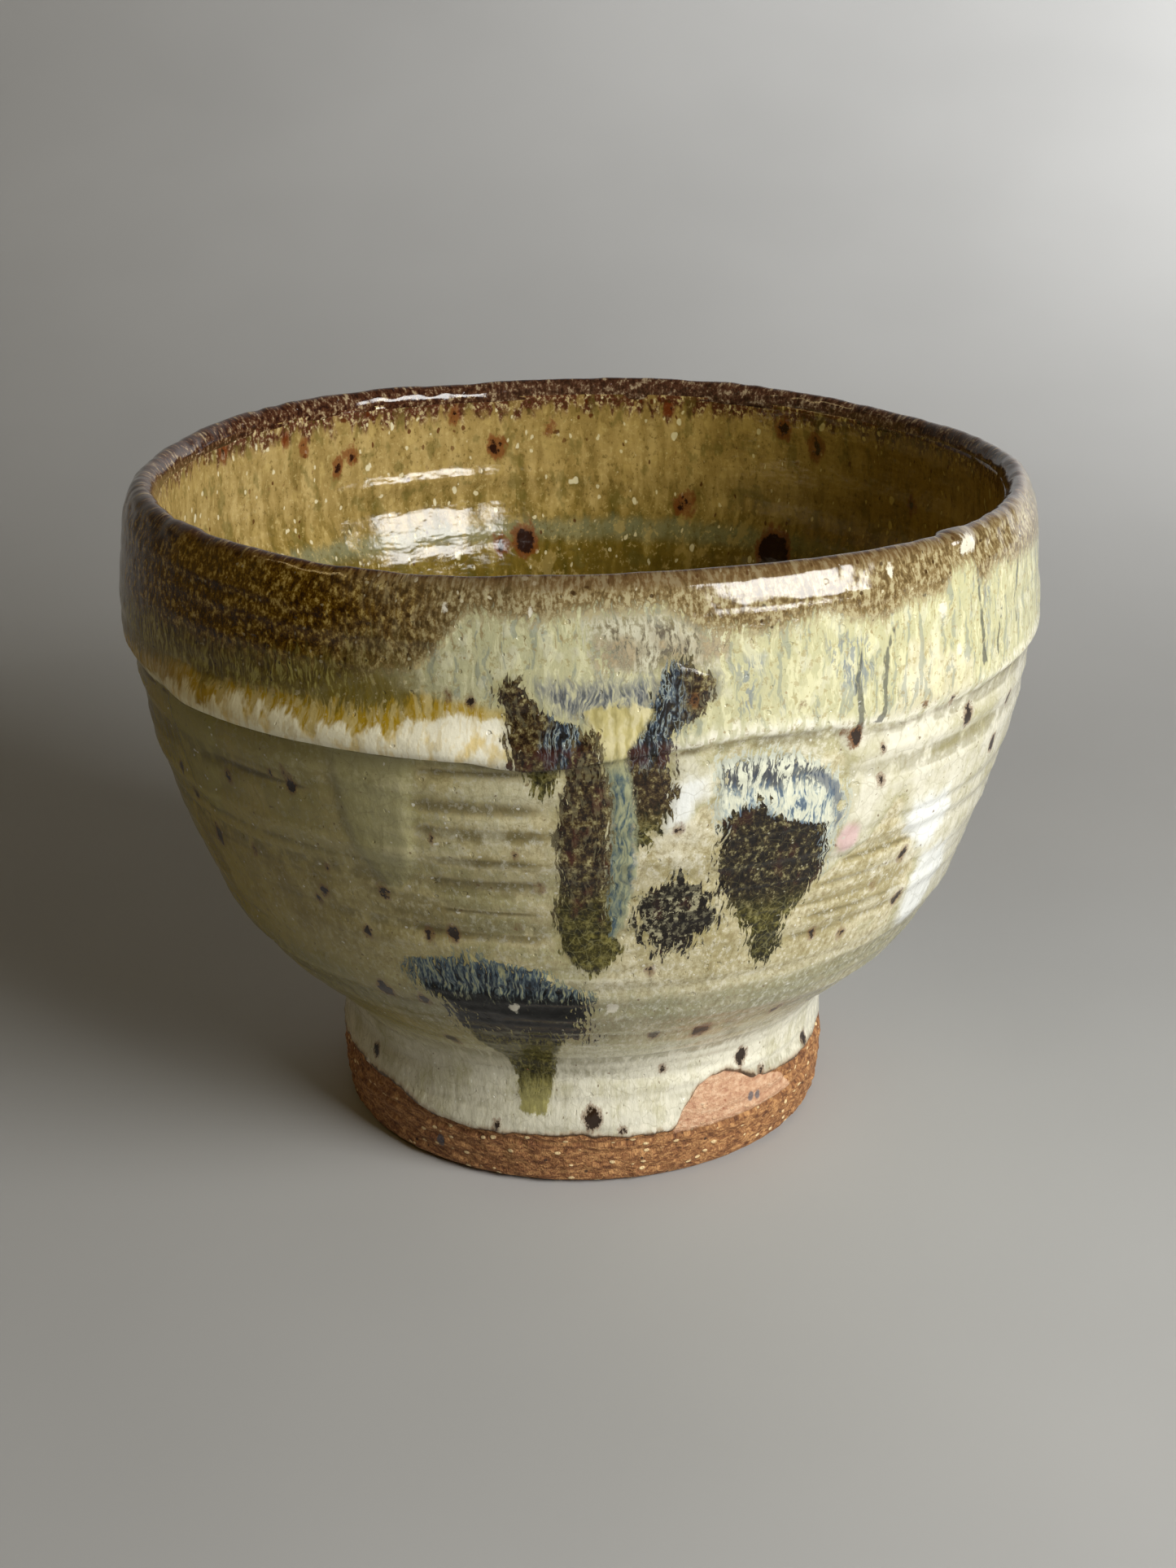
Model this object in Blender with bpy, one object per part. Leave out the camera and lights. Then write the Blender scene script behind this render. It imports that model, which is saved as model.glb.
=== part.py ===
"""A stoneware tea bowl for whisking matcha: thrown clay, a turned foot, poured glazes and brushed marks.

Metres, +Z up. The origin is the middle of the foot's flat underside and the brushed marks face -Y.
An azimuth is in degrees from the front (-Y), positive towards +X. Sizes below are in millimetres.
"""

import math

import bmesh
import bpy
import numpy as np

MM = 0.001
COLUMNS = 48

FOOT_HEIGHT = 8.2
FOOT_RADIUS = 33.0
FOOT_BORE_RADIUS = 25.5
FOOT_BEVEL = 1.0
FLOOR_UNDERSIDE = 8.5
NUB_RADIUS = 5.0
NUB_DROP = 1.6
POOL_RADIUS = 14.0

GAP = 0.45
COAT = 0.75
COAT_INSET = 0.2
MARK_THICKNESS = 0.5
CLAY_INSET = COAT_INSET + COAT + GAP
LIP_COAT_TOP = 0.2
LIP_COAT_UNDER = 0.5
LIP_CLAY_INSET = LIP_COAT_UNDER + 0.4

# Glazed outside, (radius, height): under the lip, straight collar, ledge, belly, then the waist over the foot.
OUTSIDE = [
    (57.3, 85.6), (57.6, 83.0), (58.0, 80.5), (58.5, 76.0), (58.6, 71.0), (58.3, 67.5), (57.4, 64.8),
    (57.0, 61.0), (56.2, 57.5), (54.7, 52.0), (52.5, 45.0), (50.2, 38.5), (47.5, 32.5), (43.4, 27.3),
    (39.6, 23.5), (36.5, 20.4), (34.0, 17.6), (32.9, 15.0), (33.0, 12.5), (33.6, 10.0), (33.9, 7.5),
]
# Glazed inside, (radius, height): from under the lip, past the ledge's hollow, round to the tea pool.
INSIDE = [
    (53.9, 83.7), (54.0, 77.0), (53.9, 70.0), (53.0, 65.0), (51.9, 58.0), (50.0, 50.0), (47.3, 42.0),
    (43.0, 34.0), (37.5, 27.5), (30.5, 22.5), (22.5, 19.0), (POOL_RADIUS, 17.4), (8.0, 16.2), (0.0, 15.8),
]
# The rolled lip, (radius, height), from the outside over the crest to the inside.
LIP = [(57.3, 85.6), (56.9, 86.3), (55.9, 86.7), (54.9, 86.4), (54.2, 85.6), (53.95, 84.3)]

# Lower edge of the pale coat on the foot, (azimuth, height).
COAT_EDGE = [
    (-150, 10.5), (-110, 10.0), (-80, 9.6), (-60, 9.4), (-45, 9.0), (-38, 7.3), (-10, 7.1), (20, 7.0),
    (26, 11.5), (33, 13.2), (38, 12.3), (45, 10.4), (60, 9.8), (100, 10.0), (130, 8.4), (170, 7.8),
]
# Lower edge of the dark band that hangs from the lip, (azimuth, height).
BAND_EDGE = [
    (-165, 72.0), (-120, 71.3), (-75, 72.0), (-45, 71.2), (-30, 72.4), (-21, 74.0), (-15, 78.5), (-11, 83.0),
    (-1, 83.0), (4, 77.8), (13, 77.4), (19, 79.2), (27, 81.2), (36, 79.8), (48, 82.6), (60, 81.4), (90, 79.5),
    (130, 76.0), (170, 73.0),
]

# Each brushed mark as rows of (height, left azimuth, right azimuth), from the top down.
CENTRE_MARK = [
    (76.2, -8.3, 14.3), (73.5, -7.6, 13.3), (70.3, -7.2, 10.8), (67.0, -6.6, 12.8), (64.2, -4.6, 11.6),
    (62.3, -2.2, 9.4), (59.0, -2.4, 8.8), (56.5, -2.8, 6.3), (50.0, -2.2, 5.8), (46.0, -3.0, 4.8),
    (42.0, -2.2, 5.2), (39.2, 0.0, 2.6),
]
RIGHT_MARK = [
    (65.6, 15.4, 24.5), (63.0, 15.0, 28.4), (59.5, 15.4, 31.2), (54.0, 15.6, 30.8), (49.5, 17.0, 30.2),
    (45.0, 19.8, 27.8), (42.5, 21.8, 26.6), (40.0, 22.4, 27.0), (38.0, 24.0, 26.2),
]
SMALL_MARK = [(51.3, 10.6, 12.6), (49.8, 7.4, 14.0), (46.0, 6.6, 17.2), (43.6, 7.4, 16.4), (41.3, 10.0, 13.2)]
LOW_MARK = [
    (39.8, -17.5, -9.0), (38.2, -24.0, -5.0), (35.0, -23.4, 0.8), (31.5, -19.6, 1.0), (26.0, -19.4, 0.4),
    (24.6, -19.0, -3.6), (20.0, -17.0, -5.2), (15.4, -14.6, -6.6), (10.9, -13.8, -7.4),
]


def clear_scene():
    for obj in list(bpy.data.objects):
        bpy.data.objects.remove(obj, do_unlink=True)


def outside_radius(height):
    """Radius of the glazed outside at a height below the lip."""
    rising = OUTSIDE[::-1]
    return float(np.interp(height, [z for _, z in rising], [r for r, _ in rising]))


def periodic(edge, azimuth):
    """Height of an edge that runs round the whole bowl."""
    return float(np.interp(azimuth, [a for a, _ in edge], [z for _, z in edge], period=360))


def offset(outline, distance):
    """The (radius, height) outline moved to its left, looking along its points."""
    points = np.array(outline, float)
    along = np.gradient(points, axis=0)
    along /= np.linalg.norm(along, axis=1)[:, None]
    moved = points + distance * np.column_stack([-along[:, 1], along[:, 0]])
    moved[:, 0] = np.where(points[:, 0] == 0.0, 0.0, moved[:, 0])
    return [tuple(point) for point in moved]


def place(radius, azimuth, height):
    angle = math.radians(azimuth)
    return (radius * math.sin(angle) * MM, -radius * math.cos(angle) * MM, height * MM)


def material(name, colour, roughness):
    made = bpy.data.materials.new(name)
    made.use_nodes = True
    shader = made.node_tree.nodes["Principled BSDF"]
    shader.inputs["Base Color"].default_value = (*colour, 1.0)
    shader.inputs["Roughness"].default_value = roughness
    shader.inputs["Metallic"].default_value = 0.0
    return made


def finish_object(name, shape, surface):
    """Turns a bmesh into a smooth-shaded object whose faces point out."""
    bmesh.ops.remove_doubles(shape, verts=shape.verts, dist=1e-6)
    bmesh.ops.dissolve_degenerate(shape, edges=shape.edges, dist=1e-6)
    bmesh.ops.recalc_face_normals(shape, faces=shape.faces)
    mesh = bpy.data.meshes.new(name)
    shape.to_mesh(mesh)
    shape.free()
    mesh.shade_smooth()
    mesh.set_sharp_from_angle(angle=math.radians(40))
    mesh.materials.append(surface)
    bpy.context.collection.objects.link(bpy.data.objects.new(name, mesh))


def turned(name, outline, surface):
    """A solid of revolution from a closed (radius, height) outline."""
    shape = bmesh.new()
    loop = [shape.verts.new(place(radius, 0.0, height)) for radius, height in outline]
    edges = [shape.edges.new((loop[i - 1], loop[i])) for i in range(len(loop)) if outline[i - 1][0] + outline[i][0]]
    bmesh.ops.spin(shape, geom=loop + edges, cent=(0, 0, 0), axis=(0, 0, 1), angle=math.tau,
                   steps=COLUMNS, use_merge=True)
    finish_object(name, shape, surface)


def ring_shell(name, outline_at, surface):
    """A closed ring whose (radius, height) outline changes with the azimuth."""
    shape = bmesh.new()
    columns = []
    for column in range(COLUMNS):
        azimuth = 360.0 * column / COLUMNS
        columns.append([shape.verts.new(place(r, azimuth, z)) for r, z in outline_at(azimuth)])
    for column, rim in enumerate(columns):
        before = columns[column - 1]
        for i in range(len(rim)):
            shape.faces.new((before[i - 1], before[i], rim[i], rim[i - 1]))
    finish_object(name, shape, surface)


def raised_patch(name, rows, surface, spans=6):
    """A thin slab over the pale coat, filling the given rows of (height, left azimuth, right azimuth)."""
    shape = bmesh.new()
    inner_lift = GAP - COAT_INSET
    sheets = []
    for lift in (inner_lift, inner_lift + MARK_THICKNESS):
        sheets.append([
            [shape.verts.new(place(outside_radius(height) + lift, azimuth, height))
             for azimuth in np.linspace(left, right, spans + 1)]
            for height, left, right in rows
        ])
    inner, outer = sheets
    for row in range(len(rows) - 1):
        for i in range(spans):
            for sheet in sheets:
                shape.faces.new((sheet[row][i], sheet[row][i + 1], sheet[row + 1][i + 1], sheet[row + 1][i]))
        for i in (0, spans):
            shape.faces.new((inner[row][i], inner[row + 1][i], outer[row + 1][i], outer[row][i]))
    for row in (0, len(rows) - 1):
        for i in range(spans):
            shape.faces.new((inner[row][i], inner[row][i + 1], outer[row][i + 1], outer[row][i]))
    finish_object(name, shape, surface)


def bowl_body():
    """The thrown clay: one wall from the lip to the waist, and the floor with its tea pool."""
    lip = offset(LIP[::-1], -LIP_CLAY_INSET)
    outer = [(r - CLAY_INSET, z) for r, z in OUTSIDE[1:] if z > FLOOR_UNDERSIDE]
    inner = offset(INSIDE, COAT + GAP)
    base = [
        (outer[-1][0], FLOOR_UNDERSIDE), (NUB_RADIUS + 1.0, FLOOR_UNDERSIDE),
        (NUB_RADIUS, FLOOR_UNDERSIDE - NUB_DROP * 0.6), (0.0, FLOOR_UNDERSIDE - NUB_DROP),
    ]
    turned("bowl_body", lip + outer + base + inner[::-1], material("bowl_clay", (0.21, 0.085, 0.04), 0.85))


def foot_ring():
    """The turned foot, open in the middle, with a flat underside."""
    bore, rim = FOOT_BORE_RADIUS, FOOT_RADIUS
    outline = [
        (bore + 0.6, FOOT_HEIGHT), (bore, FOOT_HEIGHT / 2), (bore + FOOT_BEVEL * 0.3, FOOT_BEVEL),
        (bore + FOOT_BEVEL * 1.3, 0.0), (rim - FOOT_BEVEL * 1.3, 0.0), (rim - FOOT_BEVEL * 0.3, FOOT_BEVEL),
        (rim, FOOT_HEIGHT * 0.45), (rim - 0.4, FOOT_HEIGHT * 0.75), (rim - 0.8, FOOT_HEIGHT),
    ]
    turned("foot_ring", outline, material("foot_clay", (0.24, 0.09, 0.042), 0.9))


def inner_glaze():
    turned("inner_glaze", INSIDE + offset(INSIDE, COAT)[::-1], material("amber_glaze", (0.26, 0.19, 0.05), 0.2))


def outer_glaze():
    """The pale coat, from just under the lip down to its uneven edge on the foot."""
    fixed = [z for _, z in OUTSIDE[1:] if z > 17.0]

    def outline_at(azimuth):
        heights = fixed + list(np.linspace(fixed[-1], periodic(COAT_EDGE, azimuth), 5)[1:])
        outer = [(outside_radius(z) - COAT_INSET, z) for z in heights]
        inner = [(outside_radius(z) - COAT_INSET - COAT, z) for z in heights]
        return outer + inner[::-1]

    ring_shell("outer_glaze", outline_at, material("pale_glaze", (0.52, 0.47, 0.33), 0.35))


def rim_glaze():
    """The dark band: it wraps the lip and hangs down the collar, deep on the left and short on the right."""
    lift = GAP - COAT_INSET

    def outline_at(azimuth):
        heights = np.linspace(83.6, periodic(BAND_EDGE, azimuth), 4)
        outer = [(outside_radius(z) + lift + MARK_THICKNESS, z) for z in heights]
        inner = [(outside_radius(z) + lift, z) for z in heights]
        over = offset(LIP, -LIP_COAT_TOP)
        under = offset(LIP, LIP_COAT_UNDER)
        return over[::-1] + outer + inner[::-1] + under

    ring_shell("rim_glaze", outline_at, material("iron_glaze", (0.08, 0.037, 0.008), 0.22))


def brushed_marks():
    iron = material("iron_mark", (0.05, 0.036, 0.024), 0.3)
    slate = material("slate_mark", (0.04, 0.042, 0.046), 0.35)
    raised_patch("centre_mark", CENTRE_MARK, iron, spans=8)
    raised_patch("right_mark", RIGHT_MARK, iron)
    raised_patch("small_mark", SMALL_MARK, iron, spans=4)
    raised_patch("low_mark", LOW_MARK, slate)


def main():
    clear_scene()
    bowl_body()
    foot_ring()
    inner_glaze()
    outer_glaze()
    rim_glaze()
    brushed_marks()


main()
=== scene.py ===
import math

import bmesh
import bpy
import numpy as np
from mathutils import Euler, Matrix, Vector


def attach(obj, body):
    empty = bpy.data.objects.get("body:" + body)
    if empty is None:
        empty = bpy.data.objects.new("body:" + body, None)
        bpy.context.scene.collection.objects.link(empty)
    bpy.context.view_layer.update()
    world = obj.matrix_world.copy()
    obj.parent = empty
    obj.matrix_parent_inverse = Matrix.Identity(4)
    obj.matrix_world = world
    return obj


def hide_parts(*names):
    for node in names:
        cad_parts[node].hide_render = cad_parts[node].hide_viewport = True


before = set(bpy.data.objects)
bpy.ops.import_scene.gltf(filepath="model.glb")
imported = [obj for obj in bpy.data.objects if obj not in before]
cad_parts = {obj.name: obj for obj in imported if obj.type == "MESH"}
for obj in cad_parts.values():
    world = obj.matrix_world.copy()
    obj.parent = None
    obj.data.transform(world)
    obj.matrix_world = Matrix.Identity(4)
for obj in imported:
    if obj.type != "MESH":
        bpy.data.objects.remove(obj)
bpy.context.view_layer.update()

MM = 0.001
WALL_RADIUS = 57.0
COAT = 0.75

# Glazed outside, (radius, height): straight collar, ledge, belly, waist and foot.
OUTSIDE = [
    (57.62, 83.2), (57.8, 82), (58, 80.5), (58.5, 76), (58.65, 71.5), (58.5, 68.6), (57.7, 66.6),
    (57.3, 64.8), (57, 61.5), (56.3, 57.5), (54.7, 52), (52.5, 45), (50.2, 38.5), (47.5, 32.5),
    (43.4, 27.3), (39.5, 23.5), (36.2, 20.3), (33.7, 17.4), (32.6, 15), (32.7, 12.4), (33.4, 9.6),
    (33.6, 7), (33.4, 4.5),
]
# Glazed inside, (radius, height): from the lip, past the hollow behind the ledge, round to the tea pool.
INSIDE = [
    (53.7, 84.6), (53.9, 80), (54.2, 75), (54.2, 71), (53.8, 68), (52.4, 64.6), (51.3, 61.6), (50.6, 57),
    (49.4, 50), (47, 42), (43, 34), (37.5, 27.5), (30.5, 22.5), (22.5, 19), (15, 17.5), (11, 16.3),
    (5, 15.8), (0, 15.7),
]
# The lip, (radius, height), from the outside over the crest to the inside.
LIP = [
    (57.62, 83.2), (57.35, 83.9), (57, 84.8), (56.6, 85.7), (56, 86.35), (55.3, 86.6), (54.6, 86.3),
    (54, 85.5), (53.8, 84.4), (54, 83.2),
]
# The bare foot, (radius, height): bore, flat underside, outer side, then up under the glaze.
FOOT = [
    (25.6, 8.35), (25.4, 4.5), (25.8, 1.2), (27, 0), (29, 0), (31.2, 0), (32.3, 0.7), (32.8, 3),
    (33.1, 6.5), (32.9, 9.5), (32.2, 12.4), (32.1, 15), (33, 17.2),
]
UNDERSIDE = [
    (28, 15), (28, 8.5), (18, 8.6), (7, 8.3), (5.4, 7.6), (3, 7), (0, 6.9),
]

# Edges that run round the bowl, as (azimuth, height).
COAT_EDGE = [
    (-150, 10.5), (-110, 10), (-80, 9.6), (-60, 9.5), (-46, 9.1), (-41, 8.3), (-37, 7.3), (-28, 6.8),
    (-14, 7.1), (0, 7.4), (12, 6.9), (20, 6.9), (21.5, 8), (23, 9.7), (27, 11.8), (30.5, 12.9), (34, 13.3),
    (38, 12.5), (42, 11.1), (46, 10.3), (60, 9.7), (75, 10.4), (100, 10), (130, 8.4), (170, 7.8),
]
BAND_EDGE = [
    (-165, 72.5), (-120, 71.3), (-90, 72), (-60, 71.8), (-51, 72.4), (-46, 71.4), (-38, 72.2), (-30, 73.2),
    (-25, 75), (-21, 76.4), (-17.5, 77), (-15.5, 78.6), (-13.5, 81), (-11.8, 83.2), (-5, 82.6), (1, 83.4),
    (9, 83.4), (13, 81), (19, 80), (24, 80.8), (27, 81.6), (31, 80.3), (35, 79.6), (38, 81.2), (44, 80.9),
    (46, 83), (50, 83.4), (52, 80.2), (55, 82), (60, 81.3), (70, 80.6), (90, 79.5), (115, 77), (145, 74),
    (175, 72),
]
LEDGE = [
    (-120, 66.4), (-75, 66), (-60, 66.1), (-45, 66.6), (-30, 66.9), (-14, 66.9), (-6, 66), (4, 66.6),
    (13, 67.8), (18, 68.6), (25, 68.2), (31, 67.2), (38, 66.7), (50, 67.2), (60, 67.9), (75, 68.6),
    (110, 67.6), (170, 67),
]

CREAM_EDGE = [
    (-170, 69.5), (-120, 70), (-90, 68.6), (-75, 67.2), (-62, 67.6), (-56, 68.6), (-50, 70), (-46, 68.4),
    (-42, 70.4), (-35, 70.2), (-28, 69.6), (-20, 70.4), (-16, 72), (-8, 72.2), (-5, 70), (4, 68),
    (13, 69.4), (25, 69.4), (35, 68.6), (45, 69.2), (60, 70.2), (75, 70.2), (110, 69.8), (150, 69.5),
]

# Brushed and run shapes as rows of (height, left azimuth, right azimuth), from the top down.
TEE_LEFT = [
    (75.9, -7.8, -6.4), (75.3, -8.5, -5.9), (74.4, -7.8, -5.3), (73.2, -7.3, -4.4), (72, -6.8, -2.6),
    (71, -7.1, -0.4), (70, -7.3, 0.4), (69, -6.4, 0.8), (68, -6.9, 1), (67, -6.4, 0.4), (66.2, -5.8, -2),
    (65, -5.2, -3), (63.7, -4.4, -3.6),
]
TEE_BODY = [
    (70.6, 0.8, 1.2), (69.4, 0, 1.6), (67.5, -0.6, 2.1), (65.5, -1.2, 2.6), (62, -1.9, 3.1), (58, -2.4, 3),
    (54, -2.2, 3), (50, -2.1, 3), (47.2, -2.9, 3), (44, -2.3, 3.4), (42.4, -2.2, 5.1), (40.6, -1.4, 4.2),
    (39.4, 0.2, 2.8), (38.8, 1, 2),
]
TEE_RUN = [
    (73.4, 2, 6), (72.8, 0.4, 7.8), (71.4, 1, 7), (70, 1.6, 6.2), (68.4, 2, 4.9), (66.5, 2.5, 4.9),
    (64, 3, 5.5), (61, 3.4, 6), (57, 3.2, 6.2), (53, 2.9, 6.3), (50, 2.8, 6.1), (47, 2.8, 5.6),
    (44.5, 2.8, 4.8), (42.5, 2.9, 3.8),
]
TEE_RIGHT = [
    (77.4, 9.6, 10.6), (76, 8.8, 13.6), (75, 8.6, 13.5), (73.5, 7.9, 13.2), (72, 7.2, 12.4),
    (71, 6.4, 10.6), (70, 6.2, 9.4), (69, 5, 9.2), (67, 4.8, 9.4), (65, 5.3, 9.5), (62, 6, 9.4),
    (60, 6, 9.2), (58.6, 6.2, 8.2), (57.2, 6.5, 7),
]
SHIELD = [
    (60.4, 18.8, 21), (59, 15.8, 21.6), (57.8, 16.2, 24), (56.3, 16, 29.2), (54, 15.4, 29.8),
    (52, 16, 30.2), (50, 16.8, 30.4), (48, 18, 29.6), (46, 18.8, 28.6), (44.2, 20.4, 26.8),
    (43, 21.8, 26.2), (41, 22, 26.8), (39.6, 22.4, 27.1), (38.4, 23.4, 26.4), (37.8, 24.2, 25.8),
]
CROWN = [
    (66.2, 15.4, 23.8), (65, 14.8, 25.6), (63.4, 14.8, 28.8), (61.5, 14.9, 30.6), (59.5, 15.2, 31.6),
    (57, 16, 31.6), (54, 24, 31.2), (51, 28.8, 30.9), (49.4, 29.6, 30.5),
]
PATCH = [
    (52.2, 11.3, 12.1), (51, 10.4, 12.8), (50, 7.6, 14), (49, 6.7, 15.6), (47.4, 7, 15.6), (46, 6.7, 17),
    (45, 6.4, 17.5), (44, 7.2, 17), (43, 7.8, 15.2), (42.2, 8.6, 14.6), (41.2, 9.8, 12.8),
]
LOW = [
    (40.2, -15.6, -12.6), (38.8, -23.2, -5), (37, -24.6, -3.2), (35.2, -23.8, 1.2), (34, -22.2, 1.2),
    (32.4, -19.6, 0.8), (30, -19, 0.2), (28, -19.6, 0.5), (26.4, -19, 0.6), (25.6, -17.6, 0.2),
]
STEM = [
    (26.5, -18.8, -1.8), (24, -18.8, -3.4), (21, -17.6, -4.8), (18, -15.6, -5.4), (15, -14.4, -6.4),
    (12.6, -14.2, -7.2), (10.8, -13.8, -7.8), (10.4, -12.6, -8.4),
]
# Thick milky runs of the coat, and the thin buff places where the clay warms it.
THICK_RUNS = [
    [(67, -29, -18.5), (60, -28.4, -19), (55, -27.6, -19.2), (51, -26, -20.4), (49, -24.4, -22.6)],
    [(67, -58, -47), (60, -57.6, -48.6), (55, -56.2, -49.8), (52, -54.4, -51.8)],
    [(67, 9.8, 15), (62, 9.6, 14.8), (58.6, 8.6, 11), (57.6, 7, 9)],
    [(67.5, 29.5, 88), (62, 31.5, 88), (58, 31.8, 86), (54, 31.2, 86), (50, 30.2, 85), (48, 29.8, 84),
     (46.4, 46, 84), (40, 48.4, 82), (37, 49.8, 80), (35, 53, 76)],
    [(66, 112, 124), (52, 113, 122), (44, 115.5, 120)],
    [(66, 150, 166), (58, 151, 164), (50, 154, 161)],
    [(66, -142, -126), (56, -140, -127), (47, -137, -131)],
    [(66, -104, -92), (58, -103, -93), (53, -100, -96)],
]
LOBES = THICK_RUNS[:2]
BUFF_COLLAR = [(77.4, 38.6, 40), (75, 37.6, 44), (72.5, 37, 49.5), (70, 36.6, 51), (68, 36.4, 50)]
BUFF_PATCH = [
    (57.2, 39.7, 40.5), (55.2, 38.6, 41.6), (52.8, 37.2, 43.2), (50.8, 34.8, 45.4), (48.8, 30.6, 47.4),
    (46, 26, 48.8), (40, 26, 48.4), (35, 26, 46),
]
WHITE_PATCHES = [
    [(55.6, 43.4, 50), (52.8, 43, 52.4), (50.6, 45.2, 52.4), (48.6, 48, 51)],
    [(46.6, 50.2, 56.8), (42, 49.4, 58.4), (38.4, 50, 57.4), (35.6, 52.4, 56)],
    [(63.8, 9.8, 13.2), (61, 9.8, 12.8), (58.6, 8.6, 10.6)],
]
THIN_PLACES = [
    [(59.5, 9, 14.6), (55, 6.6, 15.4), (50, 6.4, 17), (43, 4.8, 21), (35.6, 2, 26)],
    BUFF_PATCH,
    [(51, -62, -20), (44, -66, -14), (36, -66, -22)],
    [(52, 95, 145), (44, 90, 150), (36, 92, 148)],
    [(50, -170, -95), (42, -172, -90), (35, -170, -92)],
]
# Shadowed grooves between the throwing ridges, as (height, half width, left azimuth, right azimuth).
GROOVES = [
    (65.2, 0.6, -18, -6), (61, 1.1, -20, -4), (57.6, 1, -20, -3), (54, 0.7, -18, -5), (50.7, 0.9, -19, -4),
    (47, 0.4, -18, -5), (43.4, 0.6, -22, -4), (60.4, 0.6, -52, -32), (50.4, 0.4, 33, 48),
    (47.8, 0.4, 30, 49), (45.3, 0.5, 28, 49), (43.2, 0.4, 30, 48), (40.6, 0.4, 28, 47), (61.6, 0.6, 44, 60),
    (58, 0.7, 100, 150), (52, 0.6, 90, 160), (46, 0.6, 110, 170), (60, 0.7, -150, -90),
    (53.6, 0.6, -165, -100), (47.4, 0.6, -150, -80),
]
SLIP = [(13.4, 30, 36), (11.4, 25, 43), (9.6, 21.6, 52), (7.6, 20.6, 55), (6.6, 20.6, 56)]

# Iron spots as (azimuth, height, radius).
OUTSIDE_SPOTS = [
    (-35.2, 60.3, 0.9), (-38.3, 61.2, 0.4), (-36, 62, 0.4), (-46.6, 58.4, 0.6), (-60, 55.6, 0.7),
    (-58.5, 52.5, 0.7), (-55.3, 47.8, 1), (-46.1, 48.6, 0.5), (-32.8, 49.6, 0.35), (-24.8, 48, 0.75),
    (-34.3, 46.1, 0.75), (-35.8, 44.6, 0.5), (-16.3, 43.4, 0.9), (-19.6, 42.7, 0.65), (-28.8, 41.4, 0.6),
    (-29.4, 32.3, 1.2), (-23.2, 31.8, 0.8), (-17, 56.8, 0.4), (-7.3, 55.4, 0.35), (-4.8, 50.7, 0.45),
    (-7.8, 45, 0.3), (10.9, 58.4, 0.55), (9, 38.6, 0.55), (12, 25.8, 0.8), (20.5, 25.3, 1.4),
    (36, 64.5, 0.45), (36.4, 60.2, 0.55), (51.3, 64.7, 1.1), (61.2, 58.2, 1), (64.7, 63, 0.7),
    (45.1, 48, 0.8), (41, 44.7, 0.45), (47.8, 41, 0.85), (32.2, 40, 0.6), (37.6, 38.7, 0.55),
    (34.2, 26.2, 0.8), (46.9, 67.8, 0.5), (38.2, 15, 1.1), (2.2, 10, 1.3), (18, 16, 0.5), (45, 11.6, 0.5),
    (64, 11.6, 0.9), (-25, 22, 1), (-56, 12.2, 0.8), (-19, 8.3, 0.5), (8.8, 8.2, 0.45), (31.8, 66.6, 0.9),
    (-11.2, 73.9, 0.5), (11.9, 73.6, 0.4), (72, 48, 0.8), (79, 61, 0.7), (-71, 60, 0.8), (-84, 50, 0.9),
]
PALE_SPOTS = [
    (-9.5, 32.5, 0.8), (4.3, 32.6, 1), (48.5, 85.1, 0.8), (49.6, 85.3, 0.9), (50.7, 85.1, 0.8),
    (-14, 83.6, 0.5), (36, 84.6, 0.6), (9.6, 39, 0.6), (16.2, 40.4, 0.4), (-5, 83.4, 0.4), (44, 79.2, 0.9),
    (47, 73.8, 0.7), (20, 9, 0.5), (10.8, 8.3, 0.5), (13.2, 8.1, 0.7), (15.6, 8, 0.5), (18.4, 8, 0.7),
    (-59, 9.4, 0.8),
]
SLIP_DOTS = [(41.4, 8.5, 0.55), (43.6, 8.3, 0.5), (-34, 3.6, 0.7)]
INSIDE_SPOTS = [
    (-166, 76.8, 1.3), (140, 78.8, 1.5), (163, 68.2, 1.5), (-170.5, 63, 2), (-166, 62.4, 1), (146.5, 63, 3),
    (-175, 79.5, 0.8), (-141.5, 77.8, 1), (-139, 76.6, 0.7), (-114.5, 83.2, 0.8), (-132.5, 80.5, 0.7),
    (165.5, 82.5, 0.6), (-159.5, 82.2, 0.6), (146, 81.5, 0.8), (-128.5, 81.8, 0.5), (120, 74, 0.9),
    (100, 66, 1), (-100, 72, 0.8), (60, 70, 1), (20, 76, 0.9), (-40, 66, 1.1), (-70, 78, 0.7),
]


def smooth_curve(points, count):
    """count points evenly spaced along a smooth curve through the given ones."""
    points = np.array(points, float)
    chord = np.r_[0, np.cumsum(np.linalg.norm(np.diff(points, axis=0), axis=1))]
    slope = np.gradient(points, chord, axis=0)
    fine = np.linspace(0, chord[-1], 40 * len(points))
    i = np.clip(np.searchsorted(chord, fine, "right") - 1, 0, len(points) - 2)
    gap = (chord[i + 1] - chord[i])[:, None]
    t = (fine - chord[i])[:, None] / gap
    curve = ((1 + 2 * t) * (1 - t) ** 2 * points[i] + t * (1 - t) ** 2 * gap * slope[i]
             + t * t * (3 - 2 * t) * points[i + 1] + t * t * (t - 1) * gap * slope[i + 1])
    length = np.r_[0, np.cumsum(np.linalg.norm(np.diff(curve, axis=0), axis=1))]
    even = np.linspace(0, length[-1], count)
    return np.column_stack([np.interp(even, length, curve[:, k]) for k in (0, 1)])


def radius_at(curve):
    """The function height -> radius of a curve whose height falls all the way."""
    fine = smooth_curve(curve, 600)[::-1]
    return lambda height: np.interp(height, fine[:, 1], fine[:, 0])


outside_radius = radius_at(OUTSIDE)


def round_edge(edge, azimuth):
    return np.interp(azimuth, [a for a, _ in edge], [z for _, z in edge], period=360)


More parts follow.
